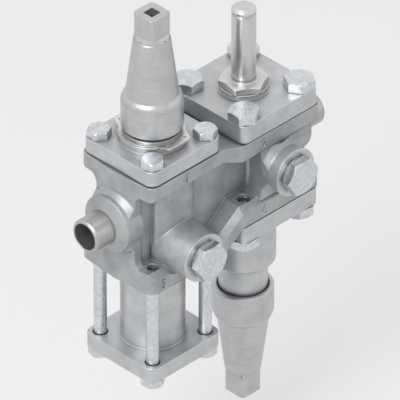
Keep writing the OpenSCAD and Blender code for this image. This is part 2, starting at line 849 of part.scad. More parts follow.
module stop_bonnet() {
    on_stop_axis() color([0.60, 0.62, 0.64]) difference() {
        union() {
            translate([0, 0, stop_cover_z]) linear_extrude(height = stop_cover_t)
                rounded_square(stop_cover_w, stop_cover_r);
            bar(stop_boss_d, stop_boss_z - 1, tag_z);
            bar(neck_thread_d, tag_z - 1, stop_neck_z);
            bar(spigot_d, stop_spigot_z, stop_cover_z + 1);
        }
        bar(guide_bore, stop_spigot_z - 1, stop_neck_z);
        bar(stuffing_d, stop_stuffing_z, stop_neck_z + 1);
        bar(spigot_hollow_d, stop_spigot_z - 1, stop_spigot_z + spigot_hollow_h);
        at_corners(slim_pitch) bar(slim_bolt_d + 2 * drill_gap, stop_cover_z - 1, stop_boss_z + 1);
    }
}

// A spindle along +Z: round up to z1, then square
module spindle(z0, z1) {
    square_tip = 1;
    color("gainsboro") union() {
        bar(spindle_d, z0, z1);
        intersection() {
            translate([0, 0, z1 - 1]) linear_extrude(height = spindle_square_h + 1)
                square(spindle_af, center = true);
            union() {
                bar(spindle_d, z1 - 1, z1 + spindle_square_h - square_tip);
                translate([0, 0, z1 + spindle_square_h - square_tip])
                    cylinder(d1 = spindle_d, d2 = spindle_af, h = square_tip);
            }
        }
    }
}

// Rings that the spindle turns in; z0 is the lower one of two heights
module packing(z0, z1) {
    color("dimgray") ring(stuffing_d - 2 * run_gap, guide_bore, z0, z1);
}

module packing_washer(z0) {
    color("silver") ring(stuffing_d - 2 * run_gap, guide_bore, z0, z0 + washer_t);
}

// The gland nut: its thread from z0 up to z1, then its hexagon
module gland(z0, z1) {
    color("goldenrod") difference() {
        union() {
            bar(stuffing_d - 2 * run_gap, z0, z1);
            translate([0, 0, z1]) chamfered_hex(gland_hex_af, gland_hex_h);
        }
        bar(guide_bore, z0 - 1, z1 + gland_hex_h + 1);
    }
}

// A valve cone that closes downwards on z = 0, with its groove and socket
module valve_cone() {
    color("silver") difference() {
        union() {
            bar(valve_cone_d, 0, cone_h - 2);
            translate([0, 0, cone_h - 2]) cylinder(d1 = valve_cone_d, d2 = 14, h = 2);
        }
        bar(guide_bore, cone_h - cone_socket_h, cone_h + 1);
        ring(cone_seal_out, cone_seal_in, -1, cone_seal_h);
    }
}

cone_seal_out = valve_cone_d - 1.4;
cone_seal_in = seat_d + 0.4;
cone_seal_h = 2;

module cone_seal() {
    color("ivory") ring(cone_seal_out, cone_seal_in, 0, cone_seal_h);
}

stop_cone_z = stop_floor + seat_gap;

module stop_cone() {
    on_stop_axis() translate([0, 0, stop_cone_z]) valve_cone();
}

module stop_cone_seal() {
    on_stop_axis() translate([0, 0, stop_cone_z]) cone_seal();
}

module stop_spindle() {
    on_stop_axis() spindle(stop_cone_z + cone_h - cone_socket_h + seat_gap,
        stop_neck_z + gland_hex_h + stop_lift / 2);
}

module stop_packing_washer() {
    on_stop_axis() packing_washer(stop_stuffing_z);
}

module stop_packing() {
    on_stop_axis() packing(stop_stuffing_z + washer_t, stop_stuffing_z + washer_t + packing_h);
}

module stop_gland() {
    on_stop_axis() gland(stop_stuffing_z + washer_t + packing_h, stop_neck_z);
}

module tag_plate() {
    side_x = tag_d * 0.42;
    side_y = tag_d * 0.2;
    ear_corner = 1.2;
    on_stop_axis() color("lightgray") difference() {
        union() {
            bar(tag_d, tag_z, tag_z + tag_t);
            for (turn = [0, 180]) rotate([0, 0, turn])
                translate([0, 0, tag_z]) linear_extrude(height = tag_t) polygon([
                    [side_x, -side_y], [ear_half + ear_corner, -ear_out + ear_corner],
                    [ear_half, -ear_out], [-ear_half, -ear_out],
                    [-ear_half - ear_corner, -ear_out + ear_corner], [-side_x, -side_y],
                    [-side_x + 3, 1], [side_x - 3, 1]]);
        }
        bar(cap_thread_bore, tag_z - 1, tag_washer_z + 1);
        for (sx = [-1, 1], sy = [-1, 1])
            translate([sx * (ear_half - ear_corner), sy * (ear_out - 3.4), 0])
                bar(ear_hole_d, tag_z - 1, tag_washer_z + 1);
    }
}

module tag_washer() {
    washer_d = cap_thread_bore + 2 * tag_washer_w;
    on_stop_axis() color("silver")
        ring(washer_d, cap_thread_bore, tag_washer_z, tag_washer_z + tag_washer_t);
}

module stop_cap_seal() {
    on_stop_axis() color([0.20, 0.21, 0.22])
        ring(cap_thread_bore + 2 * cap_seal_w, cap_thread_bore, stop_seal_z, stop_seal_z + cap_seal_t);
}

// Caps

rim_bore = bonnet_neck_d + 2 * loose_gap;
rim_bore_h = 6;
thread_bore_h = neck_in_cap + 1.5;
cavity_top_h = cone_top_h + cap_head_h - socket_depth - 9;
cavity_d = 15.6;
cavity_wide_d = cavity_d + 9;
cavity_step_h = 3;

// Half of the cap's outer section, from its rim at y = 0 up to its head
module cap_section() {
    shoulder_x = cap_d / 2 - 0.5 - cap_shoulder_r;
    edge = 0.8;
    polygon([
        [0, edge], [cap_d / 2 - edge, 0], [cap_d / 2, edge], [cap_d / 2, cap_collar_h],
        [cap_d / 2 - 0.5, cap_collar_h + 0.4], [0, cap_collar_h + 0.4]]);
    square([cap_d / 2 - edge, edge + 0.1]);
    translate([0, cap_collar_h]) square([shoulder_x, cap_shoulder_r + 0.4]);
    intersection() {
        translate([shoulder_x, cap_collar_h + 0.4]) circle(r = cap_shoulder_r);
        translate([0, cap_collar_h]) square([cap_d / 2, 2 * cap_shoulder_r]);
    }
    cone_h0 = cap_collar_h + 2;
    slope = (cone_base_d - cone_top_d) / 2 / (cone_top_h - cap_collar_h - cap_shoulder_r);
    polygon([
        [0, cone_h0], [cone_top_d / 2 + slope * (cone_top_h - cone_h0), cone_h0],
        [cone_top_d / 2, cone_top_h], [0, cone_top_h]]);
    square([cap_head_d / 2, cone_top_h + cap_head_h]);
}

// Flats cut on the turned head, each with a round run-out above the cone
module head_flats() {
    runout_r = 3;
    flat_z = cone_top_h + 1.2;
    for (a = [0:90:270]) rotate([0, 0, a]) {
        translate([cap_head_af / 2, -cap_head_d, flat_z + runout_r])
            cube([cap_head_d, 2 * cap_head_d, cap_head_h]);
        translate([cap_head_af / 2 + runout_r, 0, flat_z + runout_r])
            rotate([90, 0, 0]) cylinder(r = runout_r, h = 2 * cap_head_d, center = true);
        translate([cap_head_af / 2 + runout_r, -cap_head_d, flat_z])
            cube([cap_head_d, 2 * cap_head_d, cap_head_h]);
    }
}

module cap_hollow() {
    bar(rim_bore, -1, rim_bore_h);
    bar(cap_thread_bore, 0, thread_bore_h);
    translate([0, 0, thread_bore_h])
        cylinder(d1 = cap_thread_bore, d2 = cavity_wide_d, h = cavity_step_h);
    translate([0, 0, thread_bore_h + cavity_step_h])
        cylinder(d1 = cavity_wide_d, d2 = cavity_d, h = cavity_top_h - thread_bore_h - cavity_step_h);
    translate([0, 0, -1]) cylinder(d1 = rim_bore + 4, d2 = rim_bore, h = 2);
}

// A valve cap that stands on its rim, with its square head up
module valve_cap() {
    color([0.78, 0.79, 0.80]) difference() {
        rotate_extrude() cap_section();
        head_flats();
        cap_hollow();
        translate([0, 0, cone_top_h + cap_head_h - socket_depth]) linear_extrude(height = socket_depth + 1)
            square(socket_af, center = true);
    }
}

module stop_cap() {
    on_stop_axis() translate([0, 0, stop_cap_z]) valve_cap();
}

module regulating_cap() {
    on_control_axis() translate([0, 0, regulating_cap_z]) mirror([0, 0, 1]) valve_cap();
}

// Filter

module filter_pot() {
    on_stop_axis() color([0.60, 0.62, 0.64]) difference() {
        union() {
            bar(pot_d, foot_z - 1, pot_z);
            translate([0, 0, foot_z - foot_t]) linear_extrude(height = foot_t)
                rounded_square(foot_w, foot_r);
        }
        bar(pot_d - 2 * pot_wall, pot_floor, pot_z + 1);
        at_corners(slim_pitch) bar(slim_bolt_d + 2 * drill_gap, foot_z - foot_t - 1, foot_z + 1);
    }
}

collar_t = 3;
base_t = 4;
strainer_top = filter_roof - slip_gap - collar_t;
strainer_low = pot_floor + base_t;

module strainer_collar() {
    bore = strainer_d - 2 * strainer_wall;
    on_stop_axis() color("silver")
        ring(chamber_d - 2 * slip_gap, bore, strainer_top, strainer_top + collar_t);
}

module strainer() {
    pitch = (strainer_top - strainer_low - 6) / mesh_rows;
    on_stop_axis() color("silver") difference() {
        ring(strainer_d, strainer_d - 2 * strainer_wall, strainer_low, strainer_top);
        for (row = [0:mesh_rows - 1], column = [0:mesh_columns / 2 - 1])
            translate([0, 0, strainer_low + 3 + (row + 0.5) * pitch])
                rotate([90, 0, (column + (row % 2) / 2) * 360 / mesh_columns])
                    cylinder(d = mesh_hole_d, h = strainer_d + 2, center = true);
    }
}

module strainer_base() {
    on_stop_axis() color("silver") union() {
        bar(pot_d - 2 * pot_wall - 2 * loose_gap, pot_floor, pot_floor + base_t);
        bar(strainer_d - 2 * strainer_wall - 2 * slip_gap, pot_floor, pot_floor + base_t + 2);
    }
}

// Solenoid valve

module solenoid_cover() {
    groove_w = 0.3;
    groove_depth = 0.6;
    groove_pitch = 0.9;
    on_control_axis() color([0.60, 0.62, 0.64]) difference() {
        union() {
            translate([0, 0, solenoid_cover_z]) linear_extrude(height = solenoid_cover_t)
                rounded_square(solenoid_cover_w, solenoid_cover_r);
            bar(tube_seat_d, solenoid_top_z - 1, nut_z);
            bar(spigot_d, skirt_z, solenoid_cover_z + 1);
        }
        bar(piston_guide_d, skirt_z - 1, solenoid_cover_z);
        bar(nut_thread_d + 2 * slip_gap, nut_floor_z, nut_z + 1);
        bar(pilot_d + 2 * slip_gap, solenoid_cover_z - 1, nut_floor_z + 1);
        for (i = [1, 2]) translate([0, 0, solenoid_top_z + i * groove_pitch])
            ring(tube_seat_d + 1, tube_seat_d - 2 * groove_depth, 0, groove_w);
        at_corners(wide_pitch) bar(wide_bolt_d + 2 * drill_gap, solenoid_cover_z - 1, solenoid_top_z + 1);
    }
}

piston_cup_d = 16;
piston_bleed_d = 1.6;
piston_seat_d = 20.8;

module main_piston() {
    on_control_axis() color("silver") difference() {
        union() {
            bar(piston_seat_d, piston_z, skirt_z - 1);
            bar(piston_guide_d - 2 * loose_gap, skirt_z - 1, piston_top_z);
        }
        bar(piston_cup_d, piston_cup_z, piston_top_z + 1);
        ring(piston_guide_d + 1, ring_groove_d, ring_groove_z, ring_groove_z + ring_groove_h);
        ring(piston_seal_out, piston_seal_in, piston_z - 1, piston_z + piston_seal_h);
        translate([piston_cup_d / 2 - 3, 0, 0]) bar(piston_bleed_d, piston_z - 1, piston_top_z + 1);
    }
}

piston_seal_out = piston_seat_d - 1.4;
piston_seal_in = seat_d + 0.4;
piston_seal_h = 2;

module piston_seal() {
    on_control_axis() color("ivory")
        ring(piston_seal_out, piston_seal_in, piston_z, piston_z + piston_seal_h);
}

module piston_ring() {
    on_control_axis() color("ivory")
        ring(piston_guide_d - 2 * run_gap, ring_groove_d, ring_groove_z, ring_groove_z + ring_groove_h);
}

// The two springs are plain tubes of their true outer size
module piston_spring() {
    on_control_axis() color("lightgray")
        ring(piston_cup_d - 1.6, piston_cup_d - 4, piston_cup_z, solenoid_cover_z);
}

pilot_d = 7;
pilot_z = solenoid_cover_z + 2;

module pilot_seat() {
    on_control_axis() color("goldenrod") difference() {
        union() {
            bar(pilot_d, pilot_z, nut_floor_z);
            translate([0, 0, nut_floor_z])
                cylinder(d1 = pilot_d, d2 = 3, h = armature_seal_z - seat_gap - nut_floor_z);
        }
        bar(1.6, pilot_z - 1, armature_seal_z + 1);
    }
}

nut_collar_d = 19.2;

module tube_nut() {
    corner_d = tube_nut_af * 1.13;
    on_control_axis() color("silver") difference() {
        union() {
            bar(nut_thread_d, nut_z - nut_thread_h, nut_z + 1);
            intersection() {
                translate([0, 0, nut_z]) rotate([0, 0, nut_turn]) chamfered_hex(tube_nut_af, tube_nut_h);
                bar(corner_d, nut_z - 1, nut_top_z + 1);
            }
            bar(nut_collar_d, nut_z, nut_top_z + nut_collar_h);
        }
        bar(tube_shank_d + 2 * run_gap, nut_z - nut_thread_h - 1, nut_top_z + 2);
    }
}

// The tube's shank passes through the nut, and the nut's collar carries its shoulder
module armature_tube() {
    on_control_axis() color("gainsboro") difference() {
        union() {
            bar(tube_shank_d, tube_z, tube_top_z);
            bar(tube_d, nut_top_z + nut_collar_h, tube_top_z);
        }
        bar(tube_bore, tube_z - 1, tube_top_z + 1);
    }
}

module pole_piece() {
    edge = 2.4;
    edge_h = 1.9;
    edge_z = tube_top_z + pole_head_h - edge_h;
    groove_z = tube_top_z + 1.1;
    groove_h = 1.5;
    on_control_axis() color("gainsboro") difference() {
        union() {
            bar(tube_bore - 2 * run_gap, pole_z, tube_top_z + 1);
            bar(tube_d, tube_top_z, edge_z);
            translate([0, 0, edge_z]) cylinder(d1 = tube_d, d2 = tube_d - 2 * edge, h = edge_h);
        }
        ring(tube_d + 1, tube_d - 1.5, groove_z, groove_z + groove_h);
    }
}

module armature() {
    flute_d = 1.6;
    on_control_axis() color("silver") difference() {
        bar(tube_bore - 2 * loose_gap, armature_z, armature_top_z);
        bar(spring_hole_d, armature_top_z - spring_hole_h, armature_top_z + 1);
        bar(armature_seal_d, armature_z - 1, armature_seal_z + armature_seal_h);
        for (side = [-1, 1]) translate([side * (tube_bore / 2 - flute_d / 2 + loose_gap), 0, 0])
            bar(flute_d, armature_z - 1, armature_top_z + 1);
    }
}

module armature_seal() {
    on_control_axis() color([0.15, 0.15, 0.16])
        bar(armature_seal_d, armature_seal_z, armature_seal_z + armature_seal_h);
}

module armature_spring() {
    on_control_axis() color("lightgray")
        ring(spring_hole_d - 0.5, spring_hole_d - 2.1, armature_top_z - spring_hole_h, pole_z);
}

// Regulating valve

regulating_spigot_z = -20;
regulating_stuffing_z = regulating_neck_z + gland_thread_h + washer_t + packing_h;

module regulating_bonnet() {
    groove_z = regulating_cap_z - rim_bore_h / 2;
    on_control_axis() color([0.60, 0.62, 0.64]) difference() {
        union() {
            translate([0, 0, bonnet_low_z]) linear_extrude(height = bonnet_t)
                rounded_square(bonnet_w, bonnet_r);
            bar(bonnet_d, bonnet_end_z + bonnet_chamfer, bonnet_low_z + 1);
            translate([0, 0, bonnet_end_z])
                cylinder(d1 = bonnet_d - 2 * bonnet_chamfer, d2 = bonnet_d, h = bonnet_chamfer);
            bar(bonnet_neck_d, regulating_cap_z - rim_bore_h + 0.5, bonnet_end_z + 1);
            bar(neck_thread_d, regulating_neck_z, regulating_cap_z);
            bar(spigot_d, bonnet_z - 1, regulating_spigot_z);
        }
        bar(guide_bore, regulating_neck_z, regulating_spigot_z + 1);
        bar(stuffing_d, regulating_neck_z - 1, regulating_stuffing_z);
        bar(spigot_hollow_d, regulating_spigot_z - spigot_hollow_h, regulating_spigot_z + 1);
        ring(bonnet_neck_d + 1, bonnet_neck_d - 2 * seal_section, groove_z - seal_groove_h / 2,
            groove_z + seal_groove_h / 2);
        at_corners(wide_pitch) bar(wide_bolt_d + 2 * drill_gap, bonnet_low_z - 1, bonnet_z + 1);
    }
}

module regulating_cone() {
    v_port_h = 5;
    on_control_axis() translate([0, 0, regulating_roof - seat_gap]) union() {
        mirror([0, 0, 1]) valve_cone();
        color("silver") translate([0, 0, -1]) cylinder(d1 = seat_d - 2, d2 = seat_d - 7, h = v_port_h);
    }
}

module regulating_spindle() {
    on_control_axis() mirror([0, 0, 1])
        spindle(-(regulating_roof - cone_h + cone_socket_h - 2 * seat_gap),
            -regulating_neck_z + gland_hex_h + regulating_lift / 2);
}

module regulating_packing_washer() {
    on_control_axis() packing_washer(regulating_stuffing_z - washer_t);
}

module regulating_packing() {
    on_control_axis()
        packing(regulating_stuffing_z - washer_t - packing_h, regulating_stuffing_z - washer_t);
}

module regulating_gland() {
    on_control_axis() mirror([0, 0, 1])
        gland(-(regulating_stuffing_z - washer_t - packing_h), -regulating_neck_z);
}

module regulating_cap_seal() {
    groove_z = regulating_cap_z - rim_bore_h / 2;
    on_control_axis() color([0.15, 0.15, 0.16])
        ring(bonnet_neck_d + 0.1, bonnet_neck_d - 2 * seal_section, groove_z - seal_groove_h / 2,
            groove_z + seal_groove_h / 2);
}

// Side plugs

module side_plug() {
    rotate([90, 0, 0]) color("lightsteelblue") union() {
        bar(plug_thread_d, plug_face - plug_thread_h, plug_face + plug_gasket_t + 0.5);
        bar(plug_af, plug_face + plug_gasket_t, plug_face + plug_gasket_t + plug_collar_h + 0.5);
        translate([0, 0, plug_face + plug_gasket_t + plug_collar_h]) chamfered_hex(plug_af, plug_head_h);
    }
}

module side_gasket() {
    rotate([90, 0, 0]) color("peru")
        ring(plug_gasket_d, plug_thread_d + 2 * loose_gap, plug_face, plug_face + plug_gasket_t);
}

module low_plug() {
    translate([stop_x, 0, low_plug_z]) side_plug();
}

module low_plug_gasket() {
    translate([stop_x, 0, low_plug_z]) side_gasket();
}

module high_plug() {
    translate([control_x, 0, high_plug_z]) side_plug();
}

module high_plug_gasket() {
    translate([control_x, 0, high_plug_z]) side_gasket();
}

housing();
inlet_nipple();
outlet_nipple();
stop_gasket();
stop_bonnet();
stop_bolts();
stop_seat_ring();
stop_cone();
stop_cone_seal();
stop_spindle();
stop_packing_washer();
stop_packing();
stop_gland();
tag_plate();
tag_washer();
stop_cap_seal();
stop_cap();
filter_gasket();
filter_pot();
filter_bolts();
strainer_collar();
strainer();
strainer_base();
solenoid_gasket();
solenoid_cover();
solenoid_bolts();
solenoid_seat_ring();
main_piston();
piston_ring();
piston_seal();
piston_spring();
pilot_seat();
tube_nut();
armature_tube();
pole_piece();
armature();
armature_seal();
armature_spring();
regulating_gasket();
regulating_bonnet();
regulating_bolts();
regulating_seat_ring();
regulating_cone();
regulating_spindle();
regulating_packing_washer();
regulating_packing();
regulating_gland();
regulating_cap_seal();
regulating_cap();
low_plug();
low_plug_gasket();
high_plug();
high_plug_gasket();
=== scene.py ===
# Refrigeration valve station: camera, finishes, eased edges, threads, springs, numerals and light.
import json
import math
import bmesh
import bpy
from mathutils import Matrix, Vector
from mathutils.bvhtree import BVHTree


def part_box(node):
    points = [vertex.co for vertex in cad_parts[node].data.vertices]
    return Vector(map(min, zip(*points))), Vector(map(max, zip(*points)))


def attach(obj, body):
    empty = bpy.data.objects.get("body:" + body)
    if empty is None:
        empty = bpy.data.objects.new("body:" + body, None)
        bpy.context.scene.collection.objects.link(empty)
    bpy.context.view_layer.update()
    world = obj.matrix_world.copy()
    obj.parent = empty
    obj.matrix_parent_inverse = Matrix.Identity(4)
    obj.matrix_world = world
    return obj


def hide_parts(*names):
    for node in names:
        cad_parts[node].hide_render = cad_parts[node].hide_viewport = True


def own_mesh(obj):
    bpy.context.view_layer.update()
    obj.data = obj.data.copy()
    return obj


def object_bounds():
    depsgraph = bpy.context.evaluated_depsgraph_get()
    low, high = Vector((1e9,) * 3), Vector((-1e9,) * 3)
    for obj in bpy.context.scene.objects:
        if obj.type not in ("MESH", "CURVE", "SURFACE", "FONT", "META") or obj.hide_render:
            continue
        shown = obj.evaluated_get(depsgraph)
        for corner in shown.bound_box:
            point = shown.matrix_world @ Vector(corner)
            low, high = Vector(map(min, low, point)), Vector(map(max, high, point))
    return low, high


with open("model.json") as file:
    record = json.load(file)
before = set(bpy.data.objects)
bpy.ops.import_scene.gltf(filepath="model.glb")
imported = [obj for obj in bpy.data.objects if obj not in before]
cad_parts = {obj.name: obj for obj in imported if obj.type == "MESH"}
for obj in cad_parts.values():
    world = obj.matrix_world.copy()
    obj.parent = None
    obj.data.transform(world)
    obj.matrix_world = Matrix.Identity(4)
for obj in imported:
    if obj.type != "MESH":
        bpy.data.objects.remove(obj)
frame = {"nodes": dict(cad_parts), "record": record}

mm = 0.001
cadBox = [list(corner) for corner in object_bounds()]
record = frame["record"]
slotOf = {part["node"]: part["material_slot"] for part in record["subparts"]}
bodyOf = {name: body for body, names in record["behaviour"]["bodies"].items() for name in names}


def linked(name, data):
    # a new object in the scene, at the origin
    made = bpy.data.objects.new(name, data)
    bpy.context.scene.collection.objects.link(made)
    return made


# Camera

view = {
    "azimuth": -45.0,
    "elevation": 35.264,
    "aim": (95.6 * mm, 0.0, -21.2 * mm),  # the point in the middle of the picture
    "frameWidth": 236.7 * mm,             # what the picture is wide, at that point
    "halfAngle": 1.0,                     # a long lens, so that the lines stay nearly parallel
    "sensorWidth": 36.0,
    "clipNear": 0.1,
    "clipFar": 3,                         # in distances from the camera to that point
}


def makeCamera():
    azimuth, elevation = math.radians(view["azimuth"]), math.radians(view["elevation"])
    spread = math.tan(math.radians(view["halfAngle"]))
    back = Vector((math.sin(azimuth) * math.cos(elevation),
                   -math.cos(azimuth) * math.cos(elevation),
                   math.sin(elevation)))
    distance = view["frameWidth"] / 2 / spread
    data = bpy.data.cameras.new("camera")
    data.sensor_width = view["sensorWidth"]
    data.lens = view["sensorWidth"] / 2 / spread
    data.clip_start = view["clipNear"]
    data.clip_end = distance * view["clipFar"]
    camera = linked("camera", data)
    camera.location = Vector(view["aim"]) + back * distance
    camera.rotation_mode = "QUATERNION"
    camera.rotation_quaternion = (-back).to_track_quat("-Z", "Y")
    bpy.context.scene.camera = camera


makeCamera()
print("camera ready")


# Node maths: a socket that takes Python's operators

class Wire:
    def __init__(self, tree, socket):
        self.tree = tree
        self.socket = socket

    def math(self, operation, other=None, swap=False, clamp=False):
        first, second = (other, self) if swap else (self, other)
        settings = {"operation": operation, "use_clamp": clamp}
        return node(self.tree, "ShaderNodeMath", settings, {0: first, 1: second})

    def __add__(self, other):
        return self.math("ADD", other)

    def __radd__(self, other):
        return self.math("ADD", other, True)

    def __sub__(self, other):
        return self.math("SUBTRACT", other)

    def __rsub__(self, other):
        return self.math("SUBTRACT", other, True)

    def __mul__(self, other):
        return self.math("MULTIPLY", other)

    def __rmul__(self, other):
        return self.math("MULTIPLY", other, True)

    def __truediv__(self, other):
        return self.math("DIVIDE", other)

    def __mod__(self, other):
        return self.math("FLOORED_MODULO", other)


def node(tree, kind, settings=None, values=None, out=0):
    # a node by its type, with its settings first and then the values or links of its sockets
    made = tree.nodes.new(kind)
    for name, value in (settings or {}).items():
        if name == "stops":
            band = made.color_ramp
            while len(band.elements) < len(value):
                band.elements.new(0.5)
            for element, (spot, level) in zip(band.elements, value):
                element.position = spot
                element.color = (level, level, level, 1.0)
        else:
            setattr(made, name, value)
    for name, value in (values or {}).items():
        if isinstance(value, Wire):
            tree.links.new(value.socket, made.inputs[name])
        elif value is not None:
            made.inputs[name].default_value = value
    return Wire(tree, made.outputs[out])


def join(tree, socket, value):
    if isinstance(value, Wire):
        tree.links.new(value.socket, socket)
    else:
        socket.default_value = (*value, 1.0) if isinstance(value, tuple) else value


def mixColour(tree, factor, first, second):
    made = tree.nodes.new("ShaderNodeMix")
    made.data_type = "RGBA"
    # the node has sockets for every data type: a colour's are 6 and 7 coming in, and 2 going out
    join(tree, made.inputs[0], factor)
    join(tree, made.inputs[6], first)
    join(tree, made.inputs[7], second)
    return Wire(tree, made.outputs[2])


# Finishes

def newMaterial(name):
    material = bpy.data.materials.new(name)
    material.use_nodes = True
    tree = material.node_tree
    return material, tree, tree.nodes["Principled BSDF"]


def place(tree):
    return node(tree, "ShaderNodeTexCoord", out="Object")


def stretched(tree, scale):
    return node(tree, "ShaderNodeMapping", None, {"Vector": place(tree), "Scale": scale})


def noise(tree, where, size, detail, rough):
    return node(tree, "ShaderNodeTexNoise", None,
                {"Vector": where, "Scale": 1.0 / size, "Detail": detail, "Roughness": rough})


def ramp(tree, value, band, levels=(0.0, 1.0)):
    # goes from the first level to the second while the value crosses the band
    return node(tree, "ShaderNodeValToRGB", {"stops": list(zip(band, levels))}, {0: value})


def bump(tree, height, strength, distance):
    return node(tree, "ShaderNodeBump", None,
                {"Height": height, "Strength": strength, "Distance": distance})


def brighter(colour, by):
    return tuple(min(1.0, channel * by) for channel in colour)


# painted shade in corners, and bright edges that are partly wear and partly a painted highlight
wearAndPaintedLight = {
    "paintedShadeBand": (0.25, 0.85),    # how open a place is, from full painted shade to none
    "paintedShadeLevel": 0.4,
    "paintedShadeSamples": 6,
    "wornHighlightBand": (0.015, 0.12),    # how sharply the surface turns, from no worn, painted highlight to a full one
    "wornHighlightLevel": 1.35,
    "wornHighlightSamples": 5,
}


def colourWithPaintedShadeAndWear(tree, pattern, look):
    # the finish's two shades, painted shade darkening the corners that ambient occlusion finds, and
    # edges brightened, partly as wear and partly as a painted highlight
    colour = mixColour(tree, ramp(tree, pattern, look["band"]), look["dark"], look["light"])
    # painted shade: darker where ambient occlusion finds corners and creases
    openness = node(tree, "ShaderNodeAmbientOcclusion", {"samples": wearAndPaintedLight["paintedShadeSamples"]},
                    {"Distance": look["dirtReach"]}, out="AO")
    unshaded = ramp(tree, openness, wearAndPaintedLight["paintedShadeBand"], (1.0 - look["dirt"], 1.0))
    colour = mixColour(tree, unshaded, brighter(look["dark"], wearAndPaintedLight["paintedShadeLevel"]), colour)
    # bright edges: partly wear, partly a painted highlight where the surface turns sharply
    rounded = node(tree, "ShaderNodeBevel", {"samples": wearAndPaintedLight["wornHighlightSamples"]},
                   {"Radius": look["rubReach"]})
    flat = node(tree, "ShaderNodeNewGeometry", out="Normal")
    alike = node(tree, "ShaderNodeVectorMath", {"operation": "DOT_PRODUCT"},
                 {0: rounded, 1: flat}, out="Value")
    wornAndHighlit = ramp(tree, 1.0 - alike, wearAndPaintedLight["wornHighlightBand"], (0.0, look["rub"]))
    return mixColour(tree, wornAndHighlit * openness, colour, brighter(look["light"], wearAndPaintedLight["wornHighlightLevel"]))


def metalFinish(name, look, draw):
    # draw gives the pattern of shades, the changes of roughness and the relief
    material, tree, shader = newMaterial(name)
    pattern, unevenness, relief = draw(tree, look)
    join(tree, shader.inputs["Base Color"], colourWithPaintedShadeAndWear(tree, pattern, look))
    join(tree, shader.inputs["Metallic"], look["metallic"])
    join(tree, shader.inputs["Roughness"], look["roughness"] + unevenness)
    join(tree, shader.inputs["Normal"], bump(tree, relief, look["bump"], look["reliefDepth"]))
    return material


castLook = {
    "light": (0.470, 0.485, 0.495),
    "dark": (0.350, 0.365, 0.378),
    "band": (0.38, 0.62),    # where the pattern turns from the dark shade to the light one
    "grain": 0.75 * mm,      # size of the sand grain that the casting keeps
    "coarser": 4.5,          # the larger lumps, in grains
    "bump": 0.7,
    "reliefDepth": 0.10 * mm,
    "cloud": 13 * mm,        # size of the plating's changes of shade
    "metallic": 0.55,
    "roughness": 0.44,
    # painted shade darkens the corners that ambient occlusion finds; edges turn bright, partly as
    # wear and partly as a painted highlight
    "dirt": 0.75,
    "dirtReach": 7 * mm,
    "rub": 0.55,
    "rubReach": 0.7 * mm,
}


def drawCast(tree, look):
    where = place(tree)
    cloud = noise(tree, where, look["cloud"], detail=4.0, rough=0.6)
    grain = noise(tree, where, look["grain"], detail=2.0, rough=0.5)
    coarse = noise(tree, where, look["grain"] * look["coarser"], detail=2.0, rough=0.5)
    pattern = cloud * 0.75 + grain * 0.25
    unevenness = cloud * 0.12 - grain * 0.06
    relief = grain + coarse * 0.8
    return pattern, unevenness, relief


machinedLook = {
    "light": (0.600, 0.612, 0.625),
    "dark": (0.480, 0.493, 0.508),
    "band": (0.37, 0.63),
    "mark": 0.35 * mm,       # width of the cutter's marks
    "markScale": (0.12, 1.0, 1.0),
    "bump": 0.4,
    "reliefDepth": 0.02 * mm,
    "cloud": 11 * mm,
    "metallic": 0.78,
    "roughness": 0.33,
    # painted shade in the corners, and worn edges with a painted highlight
    "dirt": 0.7,
    "dirtReach": 5 * mm,
    "rub": 0.6,
    "rubReach": 0.6 * mm,
}


def drawMachined(tree, look):
    # covers: milling marks along one direction, under a cloudy zinc plating
    marks = noise(tree, stretched(tree, look["markScale"]), look["mark"], detail=2.0, rough=0.6)
    cloud = noise(tree, place(tree), look["cloud"], detail=4.0, rough=0.6)
    pattern = cloud * 0.7 + marks * 0.3
    unevenness = cloud * 0.10 + marks * 0.06
    return pattern, unevenness, marks


turnedLook = {
    "light": (0.640, 0.650, 0.660),
    "dark": (0.520, 0.530, 0.540),
    "band": (0.36, 0.64),
    "axis": "Z",
    "mark": 0.28 * mm,       # width of the tool's rings
    "bump": 0.5,
    "reliefDepth": 0.02 * mm,
    "cloud": 9 * mm,
    "metallic": 0.9,
    "roughness": 0.27,
    # painted shade in the corners, and worn edges with a painted highlight
    "dirt": 0.6,
    "dirtReach": 4 * mm,
    "rub": 0.5,
    "rubReach": 0.5 * mm,
}
ringScale = {"X": (1.0, 0.02, 0.02), "Y": (0.02, 1.0, 0.02), "Z": (0.02, 0.02, 1.0)}


def drawTurned(tree, look):
    # turned parts: fine rings round the part's own axis
    where = stretched(tree, ringScale[look["axis"]])
    rings = noise(tree, where, look["mark"], detail=3.0, rough=0.65)
    cloud = noise(tree, place(tree), look["cloud"], detail=3.0, rough=0.6)
    pattern = cloud * 0.5 + rings * 0.5
    unevenness = cloud * 0.08 + rings * 0.06
    return pattern, unevenness, rings


def turned(name, **changes):
    return metalFinish(name, {**turnedLook, **changes}, drawTurned)


platedLook = {
    "light": (0.700, 0.720, 0.745),
    "dark": (0.560, 0.582, 0.610),
    "band": (0.38, 0.62),
    "cloud": 3.2 * mm,       # the blotches of bright zinc
    "grain": 0.4 * mm,
    "bump": 0.25,
    "reliefDepth": 0.015 * mm,
    "metallic": 0.92,
    "roughness": 0.22,
    # painted shade in the corners, and worn edges with a painted highlight
    "dirt": 0.7,
    "dirtReach": 3 * mm,
    "rub": 0.6,
    "rubReach": 0.4 * mm,
}


def drawPlated(tree, look):
    cloud = noise(tree, place(tree), look["cloud"], detail=4.0, rough=0.65)
    grain = noise(tree, place(tree), look["grain"], detail=2.0, rough=0.5)
    unevenness = cloud * 0.14
    return cloud, unevenness, grain


def plated(name, **changes):
    return metalFinish(name, {**platedLook, **changes}, drawPlated)


softLook = {"cloud": 6 * mm, "band": (0.35, 0.65), "bump": 0.6}


